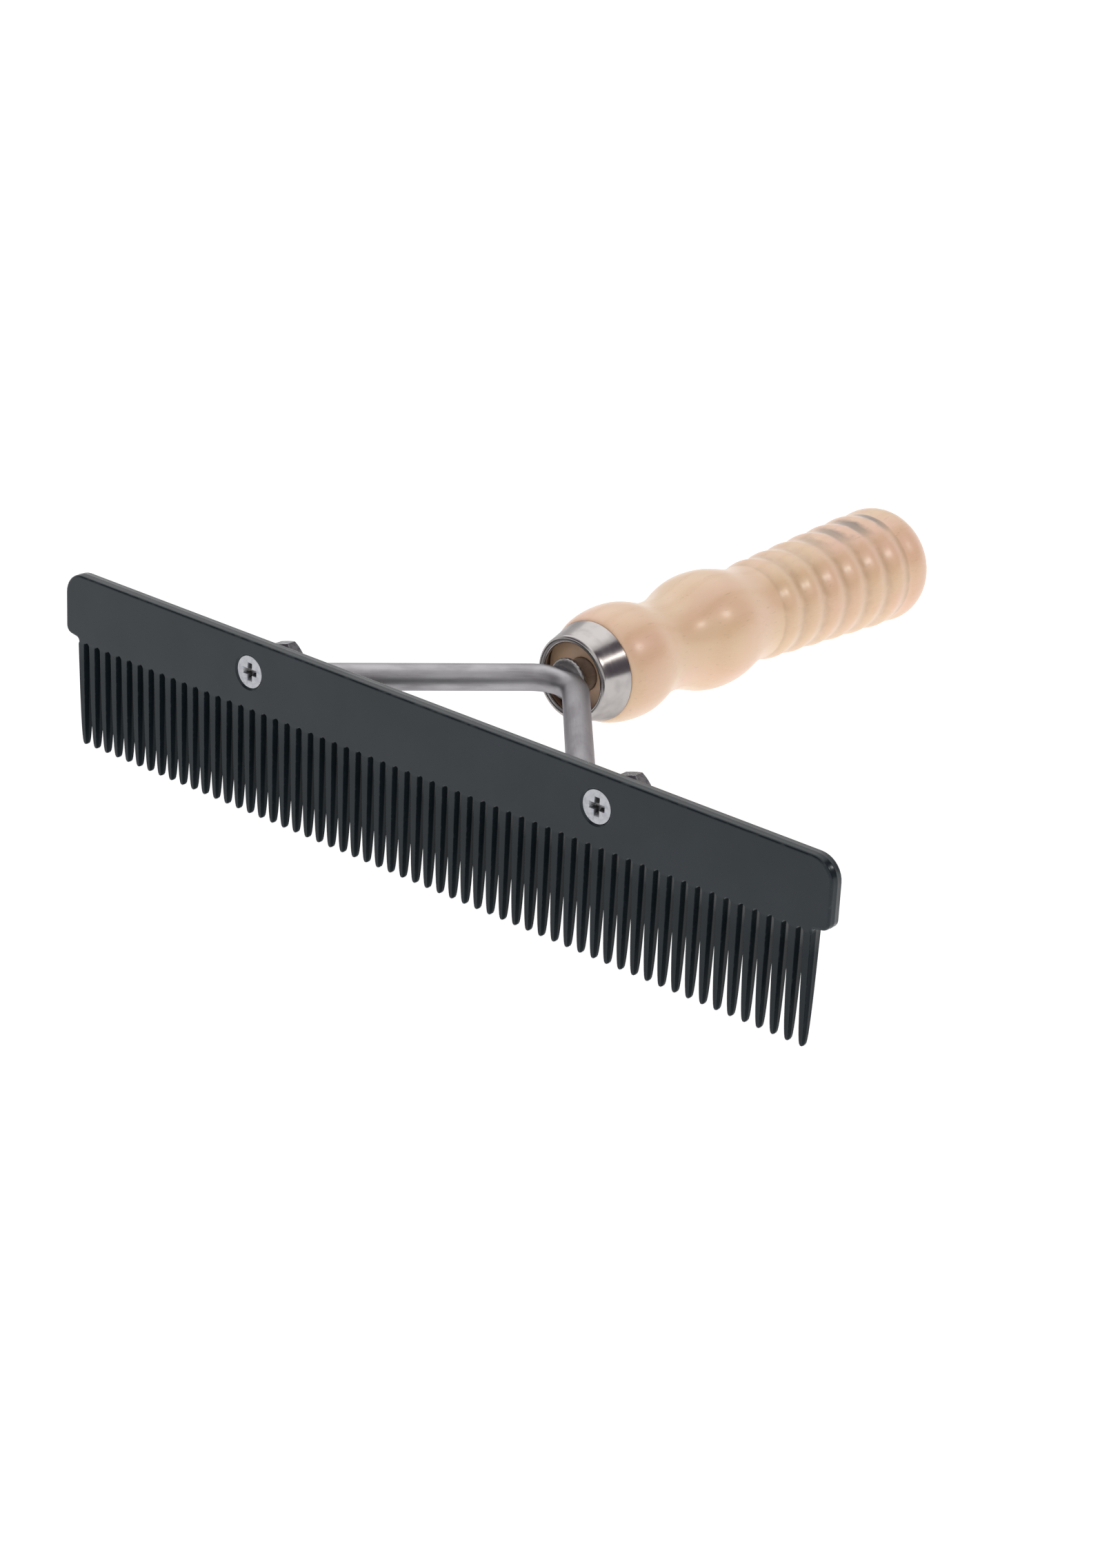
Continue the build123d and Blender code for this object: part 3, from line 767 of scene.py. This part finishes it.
class SHOWCOMB_OT_make_weld(bpy.types.Operator):
    """Make the weld bead and finish the tang"""

    bl_idname = "show_comb.make_weld"
    bl_label = "Tang weld"

    def execute(self, context):
        s = context.scene.show_comb.fork
        make_piece("tang_weld_bead", weld_surfaces(s), weld_material(s), ["tang_weld"])
        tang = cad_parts["tang"]
        tang.data.materials.clear()
        tang.data.materials.append(tang_material(s))
        return {"FINISHED"}


def tang_material(s):
    """The tang's drawn steel, which reads Object coordinates because its mesh comes from the frame."""
    material, tree, shader = new_material("tang_steel_drawn", Metallic=1.0)
    own = add_node(tree, "ShaderNodeTexCoord").outputs["Object"]
    stretched = add_node(tree, "ShaderNodeMapping", {"Vector": own, "Scale": (1, 0.03, 1)}).outputs[0]
    lines = noise(tree, stretched, 0.25 * MM)
    smudge = fit(tree, noise(tree, own, 4 * MM, 5), 0.4, 0.7)
    finish(tree, shader, blend(tree, smudge, s.steel, s.steel_dark),
           fit(tree, lines, 0.3, 0.7, 0.25, 0.42), lines, 0.01 * MM)
    return material


# Screws, washers and nuts

RECESS_SIDE_RUN = 0.4 * MM
RECESS_END_RUN = 0.8 * MM
SCREW_SEGMENTS = 144


def make_pair(kind, shape, surfaces, s, material, sharp=40.0):
    """Makes the left and the right piece of one kind, each round its own screw's line."""
    for side, x in SIDES:
        make_piece(f"{kind}_{side}_{shape}", surfaces(s, x), material,
                   [f"{kind}_{side}"], sharp)


def screw_head(s, centre_x):
    """The head's flat face as rings, sunk by the cross recess: each arm's depth grows inwards from its
    two sides and slopes down from its end, and the deeper arm counts."""
    face_y = SCREW_LOW.y
    radius = (SCREW_HIGH.z - SCREW_LOW.z) / 2
    r = np.concatenate([np.linspace(0, s.cross_span / 2 + 0.1 * MM, 44), [radius - 0.12 * MM]])
    a = np.linspace(0, TURN, SCREW_SEGMENTS + 1) - math.pi / 2
    across, up = r[:, None] * np.cos(a), r[:, None] * np.sin(a)

    def arm(along, beside):
        """Share of the full depth: 0 outside the arm, 1 where both of its slopes have ended."""
        sides = np.clip((s.cross_width / 2 - np.abs(beside)) / RECESS_SIDE_RUN, 0, 1)
        end = np.clip((s.cross_span / 2 - np.abs(along)) / RECESS_END_RUN, 0, 1)
        return np.minimum(sides, end)

    sunk = np.maximum(arm(across, up), arm(up, across))
    head = turned(face_y + s.cross_depth * sunk, np.repeat(r[:, None], len(a), 1), SCREW_SEGMENTS,
                  centre_x)
    # Painted shade mask: full in the sunk arms of the recess.
    head["groove"] = np.clip(2 * sunk, 0, 1).ravel()
    return head, r[-1]


def screw_surfaces(s, centre_x):
    """The head's face, its rounded rim and cone, and the thread. Each thread row keeps its place on the
    thread's section and climbs one pitch in a turn; the section is a V with narrow flats, it fades
    in under the head, and the tail's chamfer cuts it off."""
    head, face_radius = screw_head(s, centre_x)
    face_y, tail_y = SCREW_LOW.y, SCREW_HIGH.y
    rim = (SCREW_HIGH.z - SCREW_LOW.z) / 2
    cone_end = face_y + (rim - s.shank_radius) / math.tan(s.head_half_angle)
    thread_start = cone_end + 0.8 * MM
    profile = rounded_corners([(face_y, face_radius), (face_y, rim), (cone_end, s.shank_radius),
                               (thread_start, s.shank_radius)], [0.06 * MM, 0.3 * MM], 4)
    rest = turned(profile[:, 0], profile[:, 1], SCREW_SEGMENTS, centre_x)
    steps = 8
    turns = math.ceil((tail_y - thread_start) / s.thread_pitch) + 1
    row = np.arange(-steps, turns * steps + 1)[:, None] / steps
    a = np.linspace(0, 1, SCREW_SEGMENTS + 1)[None]
    y = np.clip(thread_start + (row + a) * s.thread_pitch, thread_start, tail_y)
    groove = np.clip(1.35 - 1.7 * np.abs(2 * (row % 1.0) - 1), 0, 1)
    cut = s.thread_depth * groove * np.clip((y - thread_start) / s.thread_pitch, 0, 1)
    tail_radius = s.shank_radius - s.thread_depth - 0.1 * MM
    radius = np.minimum(s.shank_radius - cut, tail_radius + (tail_y - y))
    thread = turned(y, radius, SCREW_SEGMENTS, centre_x)
    tail = turned([tail_y, tail_y], [tail_radius, 0], SCREW_SEGMENTS, centre_x)
    return [head, rest, thread, tail]


class SHOWCOMB_OT_make_screws(bpy.types.Operator):
    """Make the two flat-head screws with cross recesses and rolled threads"""

    bl_idname = "show_comb.make_screws"
    bl_label = "Screws"

    def execute(self, context):
        s = context.scene.show_comb.hardware
        material = plated_material("screw_zinc_plated", s.zinc, s.zinc_dull, s.recess)
        make_pair("screw", "threaded", screw_surfaces, s, material, sharp=32)
        return {"FINISHED"}


def washer_surfaces(s, centre_x):
    """A rounded rectangle carried round the screw from one side of the split to the other, with its two ends
    closed."""
    inner, outer = s.shank_radius + 0.07 * MM, (WASHER_HIGH.z - WASHER_LOW.z) / 2
    low, high = WASHER_LOW.y, WASHER_HIGH.y
    middle_y, middle_r = (low + high) / 2, (inner + outer) / 2
    section = rounded_corners([(low, middle_r), (low, outer), (high, outer), (high, inner), (low, inner),
                               (low, middle_r)], [0.12 * MM] * 4, 4)
    a = math.pi / 2 + np.linspace(s.split_angle / 2, TURN - s.split_angle / 2, 73)[:, None]
    y = np.repeat(section[None, :, 0], len(a), 0)
    r = np.repeat(section[None, :, 1], len(a), 0)
    end_y, end_r = np.full_like(y[:1], middle_y), np.full_like(r[:1], middle_r)
    y = np.concatenate([end_y, y, end_y])
    r = np.concatenate([end_r, r, end_r])
    a = np.concatenate([a[:1], a, a[-1:]])
    local = np.stack([r * np.cos(a), y, r * np.sin(a)], -1)
    return [{"points": (local + (centre_x, 0, 0)).reshape(-1, 3), "faces": grid_quads(*local.shape[:2]),
             "local": local.reshape(-1, 3)}]


class SHOWCOMB_OT_make_washers(bpy.types.Operator):
    """Make the two split lock washers"""

    bl_idname = "show_comb.make_washers"
    bl_label = "Lock washers"

    def execute(self, context):
        s = context.scene.show_comb.hardware
        material = plated_material("washer_zinc_plated", s.nut_steel, s.nut_dull, s.recess)
        make_pair("lock_washer", "split", washer_surfaces, s, material)
        return {"FINISHED"}


def nut_surfaces(s, centre_x):
    """A closed profile turned about the screw, whose outer radius is the lesser of a hexagon's and a cone's,
    so that both rims of the six flats end in curved chamfers. The bore's mouths are chamfered too."""
    low, high, flat = NUT_LOW.y, NUT_HIGH.y, s.nut_flats / 2
    bore_radius, mouth = s.shank_radius + 0.01 * MM, s.shank_radius + 0.4 * MM
    a = np.linspace(0, TURN, 97) - math.pi / 2
    sixth = TURN / 6
    hexagon = flat / np.cos((a - s.nut_turn) % sixth - sixth / 2)
    face = flat - 0.15 * MM
    depth = np.linspace(0, (flat / math.cos(sixth / 2) - face) * math.tan(NUT_CHAMFER), 7)
    cone = face + depth / math.tan(NUT_CHAMFER) + 1e-6 * MM
    rows = [(low, face, 0), *zip(low + depth[1:], cone[1:], depth[1:]),
            *zip(high - depth[:0:-1], cone[:0:-1], depth[:0:-1]), (high, face, 0)]
    y = np.array([r[0] for r in rows])
    radius = np.minimum(hexagon[None], np.array([[r[1]] for r in rows]))
    inside_y = np.array([high, high - 0.3 * MM, low + 0.3 * MM, low, low])
    inside_r = np.array([mouth, bore_radius, bore_radius, mouth, face])
    y = np.concatenate([y, inside_y])
    radius = np.concatenate([radius, np.repeat(inside_r[:, None], len(a), 1)])
    return [turned(y, radius, 96, centre_x)]


class SHOWCOMB_OT_make_nuts(bpy.types.Operator):
    """Make the two hexagon nuts"""

    bl_idname = "show_comb.make_nuts"
    bl_label = "Nuts"

    def execute(self, context):
        s = context.scene.show_comb.hardware
        material = plated_material("nut_steel_plated", s.nut_steel, s.nut_dull, s.recess)
        make_pair("nut", "hexagon", nut_surfaces, s, material, sharp=24)
        return {"FINISHED"}


# Ferrule


def ferrule_surfaces(s):
    """A closed sheet profile turned about the handle's axis: a straight cone outside, a half round lip
    rolled inwards at the front, and the same cone less the wall inside."""
    front, rear, rear_radius = FERRULE_LOW.y, FERRULE_HIGH.y, (FERRULE_HIGH.z - FERRULE_LOW.z) / 2
    slope = (rear_radius - s.front_radius) / (rear - front)
    lip_y = front + s.lip_radius
    outer = s.front_radius + slope * s.lip_radius
    centre = outer - s.lip_radius
    a = np.linspace(math.pi / 2, math.pi * 1.75, 22)
    lip = np.stack([lip_y + s.lip_radius * np.cos(a), centre + s.lip_radius * np.sin(a)], -1)
    y = np.linspace(lip_y, rear - 0.25 * MM, 14)[::-1]
    outside = np.stack([y, s.front_radius + slope * (y - front)], -1)
    edge = 0.25 * MM
    rim = np.array([(rear, rear_radius - edge), (rear, rear_radius - s.wall + 0.1 * MM)])
    inside_y = np.linspace(rear - 0.1 * MM, lip_y + 1.2 * s.lip_radius, 8)
    inside = np.stack([inside_y, s.front_radius + slope * (inside_y - front) - s.wall], -1)
    profile = np.concatenate([outside[:-1], lip, inside[::-1], rim[::-1], outside[:1]])
    return [turned(profile[:, 0], profile[:, 1], 160)]


class SHOWCOMB_OT_make_ferrule(bpy.types.Operator):
    """Make the chromed ferrule with its rolled lip"""

    bl_idname = "show_comb.make_ferrule"
    bl_label = "Ferrule"

    def execute(self, context):
        s = context.scene.show_comb.ferrule
        make_piece("ferrule_spun", ferrule_surfaces(s), chrome_material(s), ["ferrule"])
        return {"FINISHED"}


# Handle

FRONT_BULGE = (68.5 * MM, 13.85 * MM)
NECK = (83.0 * MM, 11.1 * MM)
MIDDLE_BULGE = (99.5 * MM, 14.3 * MM)
WAIST = (117.0 * MM, 11.6 * MM)
RIB_END_RADIUS = 13.9 * MM
TENON_GAP = 0.72 * MM
HANDLE_SEGMENTS = 144


def grip_profile(s):
    """The turned outline from the shoulder to the round end, as y, radius and groove share. The bulges and
    necks are S-curves; each rib is a raised cosine over a slowly widening line, and the groove
    share peaks where two ribs meet."""
    shoulder_y = FERRULE_HIGH.y + 0.3 * MM
    t = np.linspace(0, 1, 13)[:, None]
    start = np.array([(shoulder_y, s.shoulder_radius), (shoulder_y + 1.7 * MM, s.shoulder_radius + 1.1 * MM),
                      (FRONT_BULGE[0] - 3.2 * MM, FRONT_BULGE[1]), FRONT_BULGE])
    weights = np.concatenate([(1 - t) ** 3, 3 * t * (1 - t) ** 2, 3 * t * t * (1 - t), t ** 3], 1)
    smooth = np.concatenate([weights @ start, swell(FRONT_BULGE, NECK), swell(NECK, MIDDLE_BULGE),
                             swell(MIDDLE_BULGE, WAIST)])
    steps = 10
    walk = np.arange(1, s.rib_count * steps + 1) / steps
    inside = walk % 1.0
    rib_y = WAIST[0] + walk * s.rib_pitch
    rib_r = WAIST[1] + (RIB_END_RADIUS - WAIST[1]) * walk / s.rib_count
    rib_r = rib_r + s.rib_height * (1 - np.cos(TURN * inside)) / 2
    ribs = np.stack([rib_y, rib_r], -1)
    end_y = HANDLE_HIGH.y
    full = (end_y - s.end_rounding, (HANDLE_HIGH.z - HANDLE_LOW.z) / 2)
    rear = swell(tuple(ribs[-1]), full, 8)
    a = np.linspace(0, math.pi / 2, 13)[1:, None]
    round_end = np.concatenate([full[0] + s.end_rounding * np.sin(a),
                                full[1] - s.end_rounding * (1 - np.cos(a))], 1)
    groove = np.concatenate([np.zeros(len(smooth)), ((1 + np.cos(TURN * inside)) / 2) ** 2,
                             np.zeros(len(rear) + len(round_end))])
    return np.concatenate([smooth, ribs, rear, round_end]), groove


def handle_surfaces(s, fork, ferrule):
    """The grip outline, then the flat end, the bore for the tang and the tenon inside the ferrule, turned
    about the handle's axis."""
    grip, groove = grip_profile(s)
    rear_y, rear_radius = FERRULE_HIGH.y, (FERRULE_HIGH.z - FERRULE_LOW.z) / 2
    slope = (rear_radius - ferrule.front_radius) / (rear_y - FERRULE_LOW.y)
    front_y = HANDLE_LOW.y
    tenon_front = ferrule.front_radius + slope * (front_y - FERRULE_LOW.y) - TENON_GAP
    bore_radius, bore_end = fork.tang_radius + 0.02 * MM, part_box("tang")[1].y + 1.5 * MM
    inside = rounded_corners(
        [(bore_end, 0), (bore_end, bore_radius), (front_y, bore_radius), (front_y, tenon_front),
         (rear_y, rear_radius - TENON_GAP), (rear_y, s.shoulder_radius - 0.3 * MM), tuple(grip[0])],
        [0, 0.3 * MM, 0.6 * MM, 0, 0.15 * MM], 3)
    cap = np.array([(HANDLE_HIGH.y, 0)])
    profile = np.concatenate([inside[:-1], grip, cap])
    surface = turned(profile[:, 0], profile[:, 1], HANDLE_SEGMENTS)
    groove = np.concatenate([np.zeros(len(inside) - 1), groove, [0]])
    surface["groove"] = np.repeat(groove, HANDLE_SEGMENTS + 1)
    return [surface]


class SHOWCOMB_OT_make_handle(bpy.types.Operator):
    """Make the turned wooden handle with its tenon and bore"""

    bl_idname = "show_comb.make_handle"
    bl_label = "Handle"

    def execute(self, context):
        settings = context.scene.show_comb
        surfaces = handle_surfaces(settings.handle, settings.fork, settings.ferrule)
        make_piece("handle_turned", surfaces, wood_material(settings.handle), ["handle"])
        return {"FINISHED"}


# Stage

LAMP_TARGET = Vector((0, 0.06, 0))
# Each dark card's direction, and the cosines at its inner and outer edge
DARK_CARDS = (((0.72, 0.42, 0.55), 0.86, 0.7), ((-0.5, -0.55, 0.67), 0.93, 0.8))


def floor_heights(y):
    """The floor is the plane under the blade's tips and the handle's end: its height at y."""
    tip_y, tip_z = (BLADE_LOW.y + BLADE_HIGH.y) / 2, BLADE_LOW.z
    end_y, end_z = HANDLE_HIGH.y - 6.5 * MM, HANDLE_LOW.z
    return tip_z + (end_z - tip_z) * (y - tip_y) / (end_y - tip_y)


def make_floor(s):
    """A square, faintly backlit plane, tilted with the object's rest so that the teeth and the handle
    touch it."""
    reach = s.floor_size / 2
    x, y = (c.ravel() for c in np.meshgrid([-reach, reach], [-reach, reach], indexing="ij"))
    points = np.stack([x, y, floor_heights(y) - 0.05 * MM], -1)
    mesh = bpy.data.meshes.new("floor")
    mesh.from_pydata(points.tolist(), [], [(0, 2, 3, 1)])
    material, _, shader = new_material("floor_pale", Roughness=1.0, Specular_IOR_Level=0.0)
    shader.inputs["Base Color"].default_value = (*s.floor, 1)
    shader.inputs["Emission Color"].default_value = (1, 1, 1, 1)
    shader.inputs["Emission Strength"].default_value = s.floor_glow
    mesh.materials.append(material)
    floor = bpy.data.objects.new("floor", mesh)
    bpy.context.scene.collection.objects.link(floor)


def make_world(s):
    """Studio walls: even and pale, white behind what the camera sees, with dark cards at the right and
    at the front left."""
    world = bpy.data.worlds.new("studio")
    bpy.context.scene.world = world
    world.use_nodes = True
    tree = world.node_tree
    background = tree.nodes["Background"]
    ray = add_node(tree, "ShaderNodeTexCoord").outputs["Generated"]
    walls = (s.sky, s.sky, s.sky)
    for direction, inner, outer in DARK_CARDS:
        facing = add_node(tree, "ShaderNodeVectorMath", {0: ray, 1: Vector(direction).normalized()},
                          operation="DOT_PRODUCT").outputs["Value"]
        walls = blend(tree, fit(tree, facing, outer, inner), walls, s.card)
    camera_ray = add_node(tree, "ShaderNodeLightPath").outputs["Is Camera Ray"]
    tree.links.new(blend(tree, camera_ray, walls, (1.0, 1.0, 1.0)), background.inputs["Color"])


def make_light(name, place_at, size, watts, tint):
    """A round lamp that faces the middle of the object."""
    light = bpy.data.lights.new(name, "AREA")
    light.shape, light.size, light.energy, light.color = "DISK", size, watts, tint
    lamp = bpy.data.objects.new(name, light)
    lamp.location = place_at
    lamp.rotation_euler = (LAMP_TARGET - Vector(place_at)).to_track_quat("-Z", "Y").to_euler()
    bpy.context.scene.collection.objects.link(lamp)


def make_camera(s):
    """Looks at the target from its azimuth and elevation, then rolls about its line of sight."""
    back = Vector((math.sin(s.azimuth) * math.cos(s.elevation), -math.cos(s.azimuth) * math.cos(s.elevation),
                   math.sin(s.elevation)))
    camera = bpy.data.objects.new("camera", bpy.data.cameras.new("camera"))
    camera.data.lens = s.lens
    camera.data.sensor_width = 36.0
    camera.data.clip_start, camera.data.clip_end = 0.01, 50.0
    target = Vector((s.target_x, s.target_y, 0))
    turn = (-back).to_track_quat("-Z", "Y").to_matrix() @ Matrix.Rotation(s.roll, 3, "Z")
    camera.matrix_world = Matrix.Translation(target + back * s.distance) @ turn.to_4x4()
    bpy.context.scene.collection.objects.link(camera)
    bpy.context.scene.camera = camera


class SHOWCOMB_OT_make_stage(bpy.types.Operator):
    """Make the pale floor, the studio lights and the camera"""

    bl_idname = "show_comb.make_stage"
    bl_label = "Stage"

    def execute(self, context):
        s = context.scene.show_comb.stage
        context.scene.view_settings.view_transform = "Standard"
        make_floor(s)
        make_world(s)
        make_light("softbox_top", (-0.5, 0.3, 1.3), 2.4, s.top_light, (1.0, 0.99, 0.97))
        make_light("lamp_side", (0.95, 0.62, 0.85), 0.12, s.side_light, (1.0, 0.96, 0.9))
        make_camera(s)
        return {"FINISHED"}


class SHOWCOMB_PT_panel(bpy.types.Panel):
    """Lists the pieces of the show comb"""

    bl_idname = "SHOWCOMB_PT_panel"
    bl_label = "Show Comb"
    bl_space_type = "VIEW_3D"
    bl_region_type = "UI"
    bl_category = "Show Comb"

    def draw(self, context):
        for operator in OPERATORS:
            self.layout.operator(operator.bl_idname)


SETTINGS = (BladeSettings, ForkSettings, HardwareSettings, FerruleSettings, HandleSettings, StageSettings,
            ShowCombSettings)
OPERATORS = (SHOWCOMB_OT_make_stage, SHOWCOMB_OT_make_blade, SHOWCOMB_OT_make_fork,
             SHOWCOMB_OT_make_weld, SHOWCOMB_OT_make_screws, SHOWCOMB_OT_make_washers,
             SHOWCOMB_OT_make_nuts, SHOWCOMB_OT_make_ferrule, SHOWCOMB_OT_make_handle)


def register():
    for kind in (*SETTINGS, *OPERATORS, SHOWCOMB_PT_panel):
        bpy.utils.register_class(kind)
    bpy.types.Scene.show_comb = PointerProperty(type=ShowCombSettings)


def unregister():
    del bpy.types.Scene.show_comb
    for kind in reversed((*SETTINGS, *OPERATORS, SHOWCOMB_PT_panel)):
        bpy.utils.unregister_class(kind)


def main():
    register()
    bpy.ops.show_comb.make_stage()
    bpy.ops.show_comb.make_blade()
    bpy.ops.show_comb.make_fork()
    bpy.ops.show_comb.make_weld()
    bpy.ops.show_comb.make_screws()
    bpy.ops.show_comb.make_washers()
    bpy.ops.show_comb.make_nuts()
    bpy.ops.show_comb.make_ferrule()
    bpy.ops.show_comb.make_handle()


if __name__ == "__main__":
    main()
